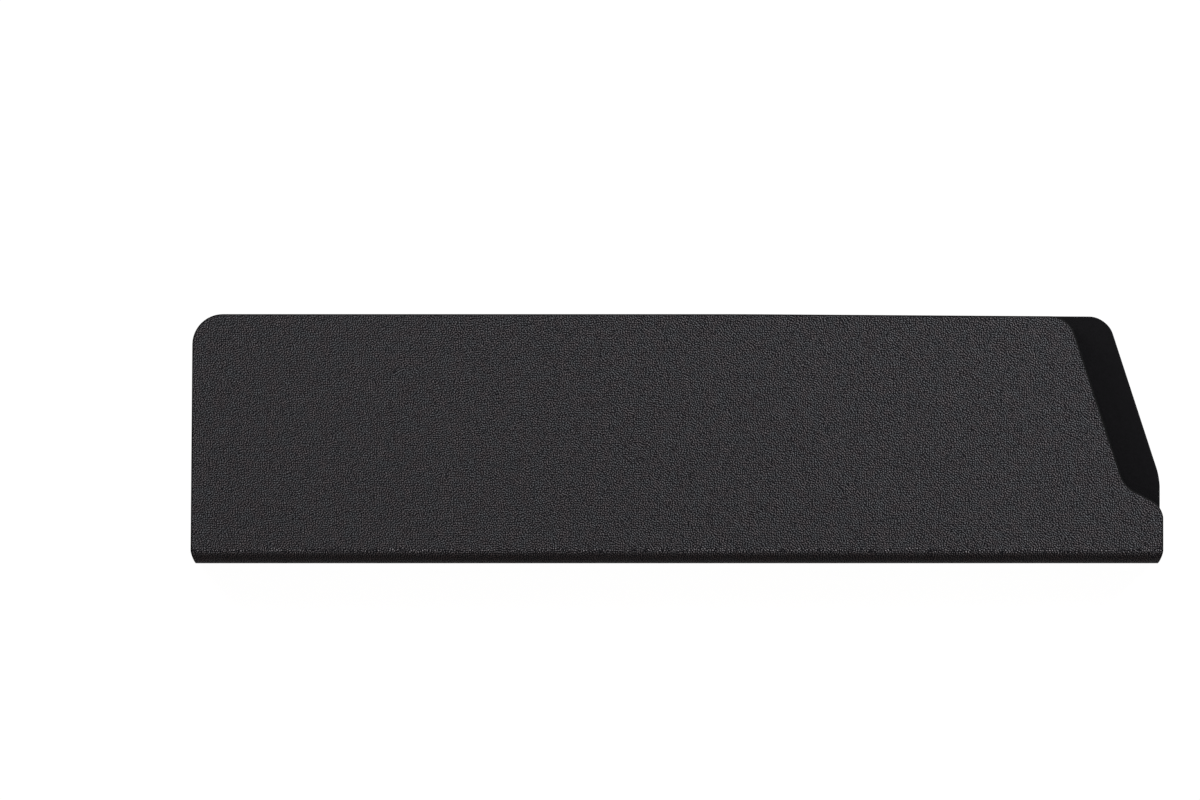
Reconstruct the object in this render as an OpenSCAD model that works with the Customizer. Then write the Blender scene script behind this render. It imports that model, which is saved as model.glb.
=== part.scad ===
// Blade guard for a kitchen knife: a grained plastic sheet, lined with felt and folded once.
// It lies on its back leaf, closed. X runs along the fold from the tip end to the mouth,
// Y from the fold to the open edge, and Z up through the thickness.
// The origin is under the middle of the folded outline.

/* [Leaves] */
// Length along the fold, from the tip end to the mouth
guard_length = 220; // [180:1:260]
// Height from the fold to the open edge, at the tip end
guard_height = 56.4; // [48:0.2:70]
// How far the open edge runs level from the tip end
level_reach = 125; // [60:5:150]
// How much lower the open edge is at the mouth
edge_drop = 0.5; // [0:0.1:2]
// How far the tip end leans in by the open edge
tip_lean = 0.4; // [0:0.1:2]
// Corner between the tip end and the open edge
tip_corner_radius = 6.9; // [3:0.1:12]

/* [Mouth] */
// Distance from the mouth end back to the front leaf's upper corner
front_setback = 21.3; // [15:0.1:30]
// How far the back leaf's slope stands out past the front leaf's
back_step = 8.9; // [4:0.1:12]
// Upper corner of each leaf at the mouth
lip_corner_radius = 5.6; // [3:0.2:9]
// How far the front leaf's thumb tab reaches past its notch
tab_reach = 8.8; // [6:0.1:12]
// Height of the thumb tab at the mouth end
tab_height = 12.8; // [9:0.1:15]
// Height of the notch above the fold, where slope and tab meet
notch_height = 17.5; // [15:0.1:24]
// Rounding of the thumb tab
tab_radius = 4.5; // [2:0.1:6]
// Rounding inside the notch
notch_radius = 5.5; // [3:0.1:8]
// How far the back leaf's end lies behind the thumb tab
back_end_step = 0.5; // [0.3:0.1:1.2]
// Height above the fold at which the back leaf steps back
back_step_height = 9.6; // [8:0.1:12]
// Rounding of the back leaf's small step
step_radius = 3; // [1:0.1:4]
// Rounding where the back leaf's slope turns down
shoulder_radius = 14; // [5:0.5:18]

/* [Sheet and lining] */
// Thickness of the plastic sheet
sheet_thickness = 1.5; // [1:0.1:2.2]
// Thickness of the adhesive film under the felt
film_thickness = 0.15; // [0.1:0.05:0.3]
// Thickness of the felt
felt_thickness = 0.8; // [0.5:0.1:1.5]
// How far the felt and film stay inside the sheet's cut edge
lining_inset = 0.3; // [0.1:0.1:1]

/* [Fold] */
// Clear gap inside the fold, between the felt faces
fold_gap = 1.1; // [0.8:0.1:3]
// Clear gap between the felt faces at the open edge
lip_gap = 0.3; // [0.2:0.1:0.8]
// How far the fold's ends draw in at its outermost line
end_draw = 1; // [0.3:0.1:2]

/* [Hidden] */

sheet_color = [0.2, 0.2, 0.21];
film_color = [0.7, 0.68, 0.6];
felt_color = [0.08, 0.08, 0.09];

// Radii of the bend, from the outside in
fold_radius = sheet_thickness + film_thickness + felt_thickness + fold_gap / 2;
guard_thickness = 2 * fold_radius;
// Depths of the layers under the outer face
film_depth = sheet_thickness;
felt_depth = sheet_thickness + film_thickness;

// The fold's axis, and the heights that follow from it
half_length = guard_length / 2;
fold_line = -guard_height / 2;
axis_y = fold_line + fold_radius;
tip_top = fold_line + guard_height;
mouth_top = tip_top - edge_drop;
// The front leaf leans towards the back leaf until the open edge is nearly shut
pinch = asin((fold_gap - lip_gap) / (tip_top - axis_y));

// Run of both slopes for each millimetre of height
slope_run = (front_setback - tab_reach) / (mouth_top - fold_line - notch_height);
back_end = half_length - back_end_step;
// The small step runs over four times its own depth
back_step_run = 4 * back_end_step;
back_shoulder = mouth_top - (front_setback - back_step - back_end_step) / slope_run;
// The open edge bends gently where its level run ends
edge_bend = -half_length + level_reach;
edge_bend_radius = 1000;

// Corners go anticlockwise from the tip end of the fold: [x, y, radius]
front_corners = [
    [-half_length, axis_y, 0],
    [half_length, axis_y, 0],
    [half_length, fold_line + tab_height, tab_radius],
    [half_length - tab_reach, fold_line + notch_height, notch_radius],
    [half_length - front_setback, mouth_top, lip_corner_radius],
    [edge_bend, tip_top, edge_bend_radius],
    [-half_length + tip_lean, tip_top, tip_corner_radius],
];
back_corners = [
    [-half_length, axis_y, 0],
    [half_length, axis_y, 0],
    [half_length, fold_line + back_step_height, step_radius],
    [back_end, fold_line + back_step_height + back_step_run, step_radius],
    [back_end, back_shoulder, shoulder_radius],
    [half_length - front_setback + back_step, mouth_top, lip_corner_radius],
    [edge_bend, tip_top, edge_bend_radius],
    [-half_length + tip_lean, tip_top, tip_corner_radius],
];

// Points on each rounded corner and along each end of the fold
arc_steps = 10;
end_steps = 8;
// The fold's ends draw in with this power of the depth, a little past the outer face
draw_power = 1.5;
plan_depth = 1.1 * fold_radius;
// The least radius that an inset leaves to a corner
least_radius = 0.1;
// Fineness of the bend
bend_facets = 96;

function unit(v) = v / norm(v);
function turn_left(v) = [-v.y, v.x];
function spin(v, a) = [v.x * cos(a) - v.y * sin(a), v.x * sin(a) + v.y * cos(a)];
function joined(lists) = [for (list = lists) for (p = list) p];
function xy(c) = [c.x, c.y];

// A corner of an outline moved inwards by d; corners on the fold's axis only move along it
function inset_corner(before, c, after, d) =
    let (n = turn_left(unit(xy(c) - xy(before))), m = turn_left(unit(xy(after) - xy(c))),
         q = c.z == 0 ? xy(c) - [sign(c.x) * d, 0] : xy(c) + (n + m) * d / (1 + n * m),
         bend = cross(n, m))
    [q.x, q.y, c.z == 0 ? 0 : max(least_radius, c.z - sign(bend) * d)];

function inset(corners, d) =
    let (n = len(corners))
    [for (i = [0 : n - 1]) inset_corner(corners[(i + n - 1) % n], corners[i], corners[(i + 1) % n], d)];

// The points that round one corner off with an arc
function rounded(before, c, after) =
    let (u = unit(xy(c) - xy(before)), v = unit(xy(after) - xy(c)), turn = atan2(cross(u, v), u * v),
         start = xy(c) - u * c.z * tan(abs(turn) / 2),
         centre = start + sign(turn) * c.z * turn_left(u))
    c.z == 0 ? [xy(c)] : [for (k = [0 : arc_steps]) centre + spin(start - centre, turn * k / arc_steps)];

function outline(corners) =
    let (n = len(corners))
    joined([for (i = [0 : n - 1]) rounded(corners[(i + n - 1) % n], corners[i], corners[(i + 1) % n])]);

// One end of the fold in plan, from its axis outwards
function fold_end(side, d) =
    [for (k = [0 : end_steps]) let (reach = plan_depth * k / end_steps)
        [side * (half_length - d - end_draw * pow(reach / fold_radius, draw_power)), axis_y - reach]];

function reversed(list) = [for (i = [len(list) - 1 : -1 : 0]) list[i]];

// Plan of the fold, which runs past the sheet's outer face
function fold_plan(d) =
    concat([[half_length - d, tip_top], [-half_length + d, tip_top]], fold_end(-1, d),
        reversed(fold_end(1, d)));

// A flat layer of a leaf, depth below its outer face
module back_layer(depth, thickness, d = 0)
    translate([0, 0, depth])
        linear_extrude(thickness) polygon(outline(inset(back_corners, d)));

module front_layer(depth, thickness, d = 0)
    translate([0, axis_y, fold_radius]) rotate([-pinch, 0, 0])
        translate([0, -axis_y, fold_radius - depth - thickness])
            linear_extrude(thickness) polygon(outline(inset(front_corners, d)));

// A layer of the bend, from the back leaf round to the front leaf
module fold_layer(depth, thickness, d = 0)
    intersection() {
        translate([0, axis_y, fold_radius]) rotate([90, 0, 90]) rotate([0, 0, 90 - pinch])
            rotate_extrude(angle = 180 + pinch, $fn = bend_facets)
                translate([fold_radius - depth - thickness, -half_length])
                    square([thickness, guard_length]);
        translate([0, 0, -fold_radius]) linear_extrude(guard_thickness + 2 * fold_radius)
            polygon(fold_plan(d));
    }

module back_leaf_sheet() color(sheet_color) back_layer(0, sheet_thickness);
module back_leaf_film() color(film_color) back_layer(film_depth, film_thickness, lining_inset);
module back_leaf_felt() color(felt_color) back_layer(felt_depth, felt_thickness, lining_inset);

module fold_sheet() color(sheet_color) fold_layer(0, sheet_thickness);
module fold_film() color(film_color) fold_layer(film_depth, film_thickness, lining_inset);
module fold_felt() color(felt_color) fold_layer(felt_depth, felt_thickness, lining_inset);

module front_leaf_sheet() color(sheet_color) front_layer(0, sheet_thickness);
module front_leaf_film() color(film_color) front_layer(film_depth, film_thickness, lining_inset);
module front_leaf_felt() color(felt_color) front_layer(felt_depth, felt_thickness, lining_inset);

back_leaf_sheet();
back_leaf_film();
back_leaf_felt();
fold_sheet();
fold_film();
fold_felt();
front_leaf_sheet();
front_leaf_film();
front_leaf_felt();
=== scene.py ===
"""Looks of the knife blade guard: grained plastic sheet, adhesive film and felt lining, folded once."""

import math

import bmesh
import bpy
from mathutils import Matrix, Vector


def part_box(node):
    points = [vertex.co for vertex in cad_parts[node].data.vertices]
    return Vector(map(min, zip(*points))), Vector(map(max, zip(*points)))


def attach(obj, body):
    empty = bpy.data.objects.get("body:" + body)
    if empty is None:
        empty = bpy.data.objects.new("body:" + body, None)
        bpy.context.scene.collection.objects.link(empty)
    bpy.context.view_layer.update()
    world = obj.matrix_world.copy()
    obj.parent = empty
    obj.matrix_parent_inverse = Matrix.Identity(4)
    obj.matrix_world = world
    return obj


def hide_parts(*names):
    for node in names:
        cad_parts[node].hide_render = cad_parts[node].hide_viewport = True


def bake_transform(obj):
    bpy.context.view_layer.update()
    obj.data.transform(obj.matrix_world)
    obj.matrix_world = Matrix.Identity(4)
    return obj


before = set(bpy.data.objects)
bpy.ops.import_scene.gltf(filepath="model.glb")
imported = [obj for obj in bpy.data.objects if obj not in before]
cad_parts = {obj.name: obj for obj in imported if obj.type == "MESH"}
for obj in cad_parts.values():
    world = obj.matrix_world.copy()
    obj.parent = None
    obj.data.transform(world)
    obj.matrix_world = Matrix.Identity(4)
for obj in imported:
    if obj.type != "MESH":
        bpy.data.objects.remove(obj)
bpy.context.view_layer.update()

MM = 0.001
TOUCH = 1e-7
SHARP = math.radians(40)
UPRIGHT = 0.99

# Sizes taken from the frame
back_low, back_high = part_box("back_leaf_sheet")
film_low, film_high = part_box("back_leaf_film")
felt_low, felt_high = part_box("back_leaf_felt")
fold_low, fold_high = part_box("fold_sheet")
half_length = back_high.x
axis_y = back_low.y
fold_line = fold_low.y
tip_top = back_high.y
fold_radius = fold_high.z / 2
sheet_thickness = back_high.z - back_low.z
film_thickness = film_high.z - film_low.z
felt_thickness = felt_high.z - felt_low.z
lining_inset = half_length - film_high.x
fold_gap = 2 * (fold_radius - felt_high.z)

# Sizes of the outline, as in the construction
lip_gap = 0.3 * MM
level_reach = 125 * MM
edge_drop = 0.5 * MM
edge_bend_radius = 1000 * MM
tip_lean = 0.4 * MM
tip_corner_radius = 6.9 * MM
front_setback = 21.3 * MM
back_step = 8.9 * MM
lip_corner_radius = 5.6 * MM
tab_reach = 8.8 * MM
tab_height = 12.8 * MM
notch_height = 17.5 * MM
tab_radius = 4.5 * MM
notch_radius = 5.5 * MM
back_end_step = 0.5 * MM
back_step_height = 9.6 * MM
step_radius = 3 * MM
shoulder_radius = 14 * MM
end_draw = 1 * MM
draw_power = 1.5

# What follows from them
mouth_top = tip_top - edge_drop
pinch = math.asin((fold_gap - lip_gap) / (tip_top - axis_y))
slope_run = (front_setback - tab_reach) / (mouth_top - fold_line - notch_height)
back_end = half_length - back_end_step
back_step_run = 4 * back_end_step
back_shoulder = mouth_top - (front_setback - back_step - back_end_step) / slope_run
edge_bend = -half_length + level_reach
felt_depth = sheet_thickness + film_thickness
bend_angle = math.pi + pinch
bend_length = fold_radius * bend_angle

# Finish of the edges
outer_rim = 0.06 * MM
inner_rim = 0.1 * MM
felt_rim = 0.2 * MM
support = 0.3 * MM
corner_segments = 12
rim_segments = 4
bend_steps = 28

# Grain of the sheet: its size, its lean, which paints the shading of the two side lamps, and the painted
# highlight where it turns into the fold; towards the rims it darkens in a painted outline
grain_spacing = 0.51 * MM
grain_randomness = 0.9
grain_depth = 0.2 * MM
ridge_length = 1.5
shading_lean_strength = 0.45
shading_lean_angle = math.radians(30)
shading_lean_start = -80 * MM
shading_lean_end = 20 * MM
mottle_size = 3 * MM
sheen_size = 7 * MM
highlight_width = 0.5 * MM
highlight_waver = 1.5 * MM

# Colours of the sheet: the crevice colour is painted shade between the pebbles, the cut colour is the dark
# cut edge and a painted dark outline, and the pale colour last is a painted highlight on the pebble tips
# by the fold
crevice_shade_colour = (0.001, 0.0009, 0.0021, 1)
cool_pebble = (0.0668, 0.073, 0.0802, 1)
warm_pebble = (0.0739, 0.07, 0.0754, 1)
cut_edge_and_shade_colour = (0.0014, 0.0014, 0.0015, 1)
crest_highlight_colour = (0.197, 0.198, 0.212, 1)


def back_place(y):
    """Place along the flat blank of a height on the back leaf."""
    return axis_y - y


def front_place(y):
    """Place along the flat blank of a height on the front leaf."""
    return bend_length + y - axis_y


def blank_corners():
    """Corners of the flat blank, anticlockwise: place along the fold, place across it, radius."""
    return [
        (-half_length + tip_lean, back_place(tip_top), tip_corner_radius),
        (edge_bend, back_place(tip_top), edge_bend_radius),
        (half_length - front_setback + back_step, back_place(mouth_top), lip_corner_radius),
        (back_end, back_place(back_shoulder), shoulder_radius),
        (back_end, back_place(fold_line + back_step_height + back_step_run), step_radius),
        (half_length, back_place(fold_line + back_step_height), step_radius),
        (half_length, front_place(fold_line + tab_height), tab_radius),
        (half_length - tab_reach, front_place(fold_line + notch_height), notch_radius),
        (half_length - front_setback, front_place(mouth_top), lip_corner_radius),
        (edge_bend, front_place(tip_top), edge_bend_radius),
        (-half_length + tip_lean, front_place(tip_top), tip_corner_radius),
        (-half_length, bend_length, 0),
        (-half_length, 0, 0),
    ]


def round_corner(bm, before, corner, after, radius):
    """Rounds one corner of the flat outline, given the places of it and its neighbours."""
    arriving = (corner - before).normalized()
    leaving = (after - corner).normalized()
    reach = radius * math.tan(arriving.angle(leaving) / 2)
    vert = min(bm.verts, key=lambda v: (v.co - corner).length)
    bmesh.ops.bevel(
        bm,
        geom=[vert],
        offset=reach,
        offset_type="OFFSET",
        segments=corner_segments,
        profile=0.5,
        affect="VERTICES",
        material=-1,
    )


def flat_blank(inset):
    """A mesh of the flat blank's outline, moved in from its edge."""
    bm = bmesh.new()
    corners = blank_corners()
    places = [Vector((x, s, 0)) for x, s, radius in corners]
    bm.faces.new([bm.verts.new(place) for place in places])
    for i, (x, s, radius) in enumerate(corners):
        if radius > 0:
            round_corner(bm, places[i - 1], places[i], places[(i + 1) % len(places)], radius)
    if inset > 0:
        rim = bmesh.ops.inset_region(bm, faces=bm.faces[:], thickness=inset, use_even_offset=True)
        bmesh.ops.delete(bm, geom=rim["faces"], context="FACES")
    return bm


def cut_off(bm, cut, away):
    """Cuts the flat blank straight across, drops what lies beyond the cut and closes it."""
    geom = bm.verts[:] + bm.edges[:] + bm.faces[:]
    bmesh.ops.bisect_plane(
        bm, geom=geom, dist=TOUCH, plane_co=(0, cut, 0), plane_no=(0, away, 0), clear_outer=True
    )
    bmesh.ops.holes_fill(bm, edges=[e for e in bm.edges if e.is_boundary])


def folded(place):
    """Where a point of the flat blank comes to lie once the blank is folded."""
    x, s, depth = place
    turn = min(max(s / fold_radius, 0), bend_angle)
    past = s - turn * fold_radius
    radius = fold_radius - depth
    y = axis_y - radius * math.sin(turn) - past * math.cos(turn)
    z = fold_radius - radius * math.cos(turn) + past * math.sin(turn)
    drawn = end_draw * (max(axis_y - y, 0) / fold_radius) ** draw_power
    return Vector((x * (1 - drawn / half_length), y, z))


def layer_piece(name, depth, thickness, inset, rims, low=None, high=None):
    """One layer of the guard: its flat blank gets its thickness and rims, and is then folded."""
    bm = flat_blank(inset)
    made = bmesh.ops.extrude_face_region(bm, geom=bm.faces[:])
    moved = [g for g in made["geom"] if isinstance(g, bmesh.types.BMVert)]
    bmesh.ops.translate(bm, verts=moved, vec=(0, 0, thickness))
    bmesh.ops.translate(bm, verts=bm.verts[:], vec=(0, 0, depth))
    bmesh.ops.recalc_face_normals(bm, faces=bm.faces[:])
    for level, rim in zip((depth, depth + thickness), rims):
        if rim > 0:
            edges = [e for e in bm.edges if all(abs(v.co.z - level) < TOUCH for v in e.verts)]
            bmesh.ops.bevel(
                bm,
                geom=edges,
                offset=rim,
                offset_type="OFFSET",
                segments=rim_segments,
                profile=0.5,
                affect="EDGES",
                material=-1,
            )
        flats = [f for f in bm.faces if all(abs(v.co.z - level) < TOUCH for v in f.verts)]
        bmesh.ops.inset_region(bm, faces=flats, thickness=support, use_even_offset=True)
    bends = [bend_length * step / bend_steps for step in range(bend_steps + 1)]
    for bend in [-support, *bends, bend_length + support]:
        geom = bm.verts[:] + bm.edges[:] + bm.faces[:]
        bmesh.ops.bisect_plane(bm, geom=geom, dist=TOUCH, plane_co=(0, bend, 0), plane_no=(0, 1, 0))
    if low is not None:
        cut_off(bm, low, -1)
    if high is not None:
        cut_off(bm, high, 1)
    area = sum(f.calc_area() for f in bm.faces if all(abs(v.co.z - depth) < TOUCH for v in f.verts))
    blank = bm.verts.layers.float_vector.new("blank")
    # Vertices on the rims and cut walls carry the painted dark outline
    outline_shade = bm.verts.layers.float.new("outline_shade")
    for vert in bm.verts:
        rim = any(abs(face.normal.z) < UPRIGHT for face in vert.link_faces)
        vert[outline_shade] = 1.0 if rim else 0.0
        vert[blank] = vert.co
    for vert in bm.verts:
        vert.co = folded(vert.co)
    # Across the blank runs against Y, so folding turns the faces inside out
    bmesh.ops.reverse_faces(bm, faces=bm.faces[:])
    for face in bm.faces:
        face.smooth = True
    for edge in bm.edges:
        edge.smooth = edge.calc_face_angle(0) < SHARP
    return added(name, bm), area


def added(name, bm):
    """Puts a finished mesh into the scene."""
    mesh = bpy.data.meshes.new(name)
    bm.to_mesh(mesh)
    bm.free()
    piece = bpy.data.objects.new(name, mesh)
    bpy.context.scene.collection.objects.link(piece)
    return piece


class Shade:
    """A shader socket, on which arithmetic adds Math nodes to its tree."""

    def __init__(self, tree, socket=None):
        self.tree = tree
        self.socket = socket

    def node(self, kind, settings=None, inputs=None, output=0):
        """Adds a node: its settings first, then the values or links of its sockets."""
        made = self.tree.nodes.new(kind)
        for name, value in (settings or {}).items():
            setattr(made, name, value)
        for name, value in (inputs or {}).items():
            if isinstance(value, Shade):
                self.tree.links.new(value.socket, made.inputs[name])
            else:
                made.inputs[name].default_value = value
        return Shade(self.tree, made.outputs[output]) if made.outputs else None

    def math(self, operation, *values):
        """Adds one Math node."""
        return self.node("ShaderNodeMath", {"operation": operation}, dict(enumerate(values)))

    def __add__(self, other):
        return self.math("ADD", self, other)

    def __radd__(self, other):
        return self.math("ADD", other, self)

    def __sub__(self, other):
        return self.math("SUBTRACT", self, other)

    def __rsub__(self, other):
        return self.math("SUBTRACT", other, self)

    def __mul__(self, other):
        return self.math("MULTIPLY", self, other)

    def __rmul__(self, other):
        return self.math("MULTIPLY", other, self)

    def ramp(self, low, high, to_low=0.0, to_high=1.0):
        """Maps this value smoothly from one range to another."""
        values = {0: self, 1: low, 2: high, 3: to_low, 4: to_high}
        return self.node("ShaderNodeMapRange", {"interpolation_type": "SMOOTHSTEP"}, values)

    def part(self, index):
        """One of the three numbers of this vector."""
        return self.node("ShaderNodeSeparateXYZ", inputs={0: self}, output=index)

    def blend(self, first, second):
        """Mixes two colours by this value."""
        return self.node("ShaderNodeMix", {"data_type": "RGBA"}, {0: self, 6: first, 7: second}, output=2)


def new_material(name):
    """A material with an empty tree, and the Shade that builds it."""
    material = bpy.data.materials.new(name)
    material.use_nodes = True
    material.node_tree.nodes.clear()
    return material, Shade(material.node_tree)


def finish_surface(shade, surface):
    """Ends a material's tree with its surface."""
    shade.node("ShaderNodeOutputMaterial", inputs={"Surface": surface})


def grained_plastic():
    """Charcoal plastic sheet with an embossed pebble grain and smooth dark cut edges, with painted shade
    in the crevices, along the outline and in the grain's lean, and a painted highlight where it turns into
    the fold.
    """
    material, shade = new_material("grained_plastic")
    blank = shade.node("ShaderNodeAttribute", {"attribute_name": "blank"}, output="Vector")
    along, across, depth = blank.part(0), blank.part(1), blank.part(2)
    face = depth.ramp(outer_rim / 3, 0.6 * outer_rim, 1.0, 0.0)
    # Painted shade: the ridges run up to the right by the tip end and up to the left by the mouth, and
    # stand out most by the mouth, as the shading from lamps at the upper left and upper right makes them
    # look
    side = along.ramp(shading_lean_start, shading_lean_end, -1.0, 1.0)
    mouth_side = shade.math("GREATER_THAN", side, 0.0)
    ridges = shade.node(
        "ShaderNodeTexGabor",
        {"gabor_type": "2D"},
        {
            "Vector": blank,
            "Scale": 1 / (grain_spacing * ridge_length),
            "Frequency": ridge_length,
            "Anisotropy": shade.math("ABSOLUTE", side) * shading_lean_strength,
            "Orientation": mouth_side * (2 * shading_lean_angle - math.pi) + (math.pi - shading_lean_angle),
        },
        output="Value",
    )
    cells = {"Vector": blank, "Scale": 1 / grain_spacing, "Randomness": grain_randomness}
    edge = shade.node(
        "ShaderNodeTexVoronoi", {"voronoi_dimensions": "2D", "feature": "DISTANCE_TO_EDGE"}, cells
    )
    broad = shade.node(
        "ShaderNodeTexNoise",
        inputs={"Vector": blank, "Scale": 1 / sheen_size, "Detail": 2.0},
    )
    hue = shade.node(
        "ShaderNodeTexNoise",
        inputs={"Vector": blank, "Scale": 1 / mottle_size, "Detail": 4.0, "Roughness": 0.65},
    )
    pebble = edge.ramp(0.0, 0.4) * 0.45 + ridges.ramp(0.3, 0.7) * 0.55
    # Painted shade: the dark crevices between the pebbles stand for the shade of the grain's relief
    relief_shade = pebble.ramp(side * 0.05 + 0.305, side * -0.045 + 0.795)
    grained = relief_shade.blend(crevice_shade_colour, hue.ramp(0.35, 0.65).blend(cool_pebble, warm_pebble))
    # Painted highlight: the pebble tips are lighter along both lines where the sheet turns into the fold,
    # not quite evenly, standing in for light catching the grain there
    past_bend = shade.math("ABSOLUTE", across - 0.5 * bend_length) - 0.5 * bend_length
    past_bend = past_bend + (broad - 0.5) * highlight_waver
    rising = past_bend.ramp(-1.4 * highlight_width, -0.4 * highlight_width)
    highlight_band = rising * past_bend.ramp(0.0, highlight_width, 1.0, 0.0)
    highlighted_grain = highlight_band.blend(grained, pebble.ramp(0.5, 0.95).blend(crevice_shade_colour, crest_highlight_colour))
    # Painted shade: the rounded rim and a thin band of the face along every cut edge are dark, on top of
    # the dark cut walls that are the sheet's own
    outline_shade = shade.node("ShaderNodeAttribute", {"attribute_name": "outline_shade"}, output="Fac")
    open_face = face * (1 - outline_shade.ramp(0.0, 0.35))
    colour = open_face.blend(cut_edge_and_shade_colour, highlighted_grain)
    bump = shade.node(
        "ShaderNodeBump",
        inputs={"Strength": 1.0, "Distance": grain_depth, "Height": pebble * open_face},
    )
    surface = shade.node(
        "ShaderNodeBsdfPrincipled",
        inputs={
            "Base Color": colour,
            "Roughness": broad.ramp(0.3, 0.7, 0.58, 0.62),
            "Normal": bump,
            "Specular IOR Level": 0.05,
        },
    )
    finish_surface(shade, surface)
    return material


def black_felt():
    """Black needled felt: matt, with a faint sheen and a fibrous surface."""
    material, shade = new_material("black_felt")
    blank = shade.node("ShaderNodeAttribute", {"attribute_name": "blank"}, output="Vector")
    fibres = shade.node(
        "ShaderNodeTexNoise",
        {"noise_dimensions": "3D"},
        {"Vector": blank, "Scale": 1 / (0.25 * MM), "Detail": 4.0, "Roughness": 0.7, "Distortion": 1.5},
    )
    tufts = shade.node(
        "ShaderNodeTexNoise",
        {"noise_dimensions": "3D"},
        {"Vector": blank, "Scale": 1 / (1.4 * MM), "Detail": 3.0, "Roughness": 0.6},
    )
    pile = fibres * 0.7 + tufts * 0.3
    colour = pile.ramp(0.3, 0.7).blend((0.0014, 0.0014, 0.0019, 1), (0.0034, 0.0034, 0.0044, 1))
    bump = shade.node(
        "ShaderNodeBump",
        inputs={"Strength": 0.8, "Distance": 0.12 * MM, "Height": pile},
    )
    surface = shade.node(
        "ShaderNodeBsdfPrincipled",
        inputs={
            "Base Color": colour,
            "Roughness": fibres.ramp(0.3, 0.7, 0.85, 1.0),
            "Normal": bump,
            "Specular IOR Level": 0.06,
            "Sheen Weight": 0.015,
            "Sheen Roughness": 0.6,
        },
    )
    finish_surface(shade, surface)
    return material


def amber_film():
    """Adhesive film: a thin yellowish layer that shows only along its cut edge."""
    material, shade = new_material("amber_film")
    blank = shade.node("ShaderNodeAttribute", {"attribute_name": "blank"}, output="Vector")
    cloud = shade.node(
        "ShaderNodeTexNoise",
        {"noise_dimensions": "3D"},
        {"Vector": blank, "Scale": 1 / (2 * MM), "Detail": 3.0},
    )
    colour = cloud.ramp(0.3, 0.7).blend((0.018, 0.016, 0.013, 1), (0.034, 0.031, 0.025, 1))
    surface = shade.node(
        "ShaderNodeBsdfPrincipled",
        inputs={
            "Base Color": colour,
            "Roughness": cloud.ramp(0.3, 0.7, 0.5, 0.6),
            "Specular IOR Level": 0.2,
        },
    )
    finish_surface(shade, surface)
    return material


def guard_pieces():
    """The three layers, folded; the lining's stretches on the two leaves are attached to the back and
    front halves.
    """
    axis = Vector((0, axis_y, fold_radius))
    apart = Vector((0, math.sin(pinch / 2), math.cos(pinch / 2)))

    def bends(piece, reach):
        """Bakes a piece's placement into its mesh without bending it; reach is half the clear height
        between its two leaves at the lips, and the points it gives are not used.
        """
        axis - apart * reach
        axis + apart * reach
        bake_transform(piece)

    sheet, _ = layer_piece("grained_sheet", 0, sheet_thickness, 0, (outer_rim, inner_rim))
    sheet.data.materials.append(grained_plastic())
    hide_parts("back_leaf_sheet", "fold_sheet", "front_leaf_sheet")
    bends(sheet, film_thickness + felt_thickness + lip_gap / 2)

    film, _ = layer_piece("adhesive_film", sheet_thickness, film_thickness, lining_inset, (0, 0))
    film.data.materials.append(amber_film())
    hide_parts("back_leaf_film", "fold_film", "front_leaf_film")
    bends(film, felt_thickness + lip_gap / 2)

    felt = black_felt()
    fold_lining = felt_piece("fold_felt_lining", felt, "fold_felt", 0, bend_length)
    bends(fold_lining, fold_gap / 2)
    back_lining = felt_piece("back_leaf_felt_lining", felt, "back_leaf_felt", None, 0)
    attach(back_lining, "back_half")
    front_lining = felt_piece("front_leaf_felt_lining", felt, "front_leaf_felt", bend_length, None)
    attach(front_lining, "front_half")


def felt_piece(name, felt, node, low, high):
    """A stretch of the lining, cut across the blank at low and high."""
    lining, area = layer_piece(name, felt_depth, felt_thickness, lining_inset, (0, felt_rim), low, high)
    lining.data.materials.append(felt)
    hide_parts(node)
    return lining


def sight(shade):
    """1 where a camera, a reflection or a view through glass looks, and 0 for the light on a surface."""
    looks = [
        shade.node("ShaderNodeLightPath", output=ray)
        for ray in ("Is Camera Ray", "Is Glossy Ray", "Is Transmission Ray")
    ]
    return shade.math("MAXIMUM", shade.math("MAXIMUM", looks[0], looks[1]), looks[2])


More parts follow.
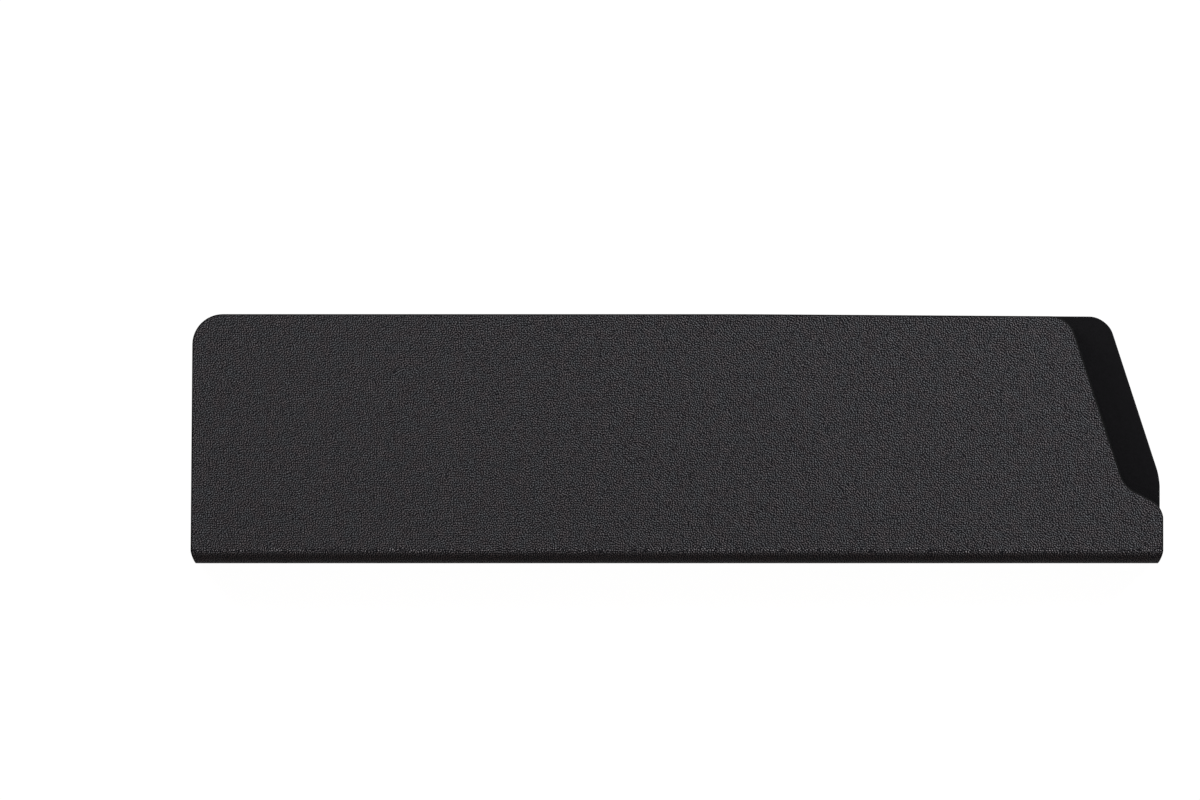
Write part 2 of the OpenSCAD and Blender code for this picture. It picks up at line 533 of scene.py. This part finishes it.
def studio():
    """White floor, plain soft light and the camera straight above."""
    floor_size = 3
    floor_gap = 0.05 * MM
    floor_glow = 1.155
    floor_seen = 0.85
    room_light = 0.35
    bm = bmesh.new()
    bmesh.ops.create_grid(bm, x_segments=1, y_segments=1, size=floor_size)
    bmesh.ops.translate(bm, verts=bm.verts[:], vec=(0, 0, -floor_gap))
    floor = added("floor", bm)
    material, shade = new_material("white_floor")
    seen = sight(shade)
    glow = shade.node("ShaderNodeEmission", inputs={"Color": (1, 1, 1, 1), "Strength": floor_glow})
    matt = shade.node("ShaderNodeBsdfDiffuse", inputs={"Color": (0.3, 0.3, 0.3, 1)})
    ground = shade.node("ShaderNodeMixShader", inputs={0: seen * floor_seen, 1: matt, 2: glow})
    finish_surface(shade, ground)
    floor.data.materials.append(material)

    world = bpy.data.worlds.new("studio")
    world.use_nodes = True
    world.node_tree.nodes.clear()
    bpy.context.scene.world = world
    shade = Shade(world.node_tree)
    seen = sight(shade)
    strength = seen * (1 - room_light) + room_light
    tint = seen.blend((1, 0.76, 0.68, 1), (1, 1, 1, 1))
    backdrop = shade.node("ShaderNodeBackground", inputs={"Color": tint, "Strength": strength})
    shade.node("ShaderNodeOutputWorld", inputs={"Surface": backdrop})

    def lamp(name, place, size, power):
        """A square lamp that faces the origin."""
        light = bpy.data.lights.new(name, "AREA")
        light.shape = "SQUARE"
        light.size = size
        light.energy = power
        holder = bpy.data.objects.new(name, light)
        holder.location = place
        holder.rotation_euler = (-Vector(place)).to_track_quat("-Z", "Y").to_euler()
        bpy.context.scene.collection.objects.link(holder)

    lamp("left_key", (-0.5, 0.48, 0.15), 0.2, 5.8)
    lamp("right_key", (0.5, 0.4, 0.145), 0.2, 11.6)

    data = bpy.data.cameras.new("camera")
    data.lens = 200
    data.sensor_width = 36
    view_width = 271.7 * MM
    middle_height = 4.2 * MM
    camera = bpy.data.objects.new("camera", data)
    camera.location = (-17.4 * MM, 8.8 * MM, middle_height + view_width * data.lens / data.sensor_width)
    bpy.context.scene.collection.objects.link(camera)
    bpy.context.scene.camera = camera
    bpy.context.scene.view_settings.view_transform = "Standard"


guard_pieces()
studio()
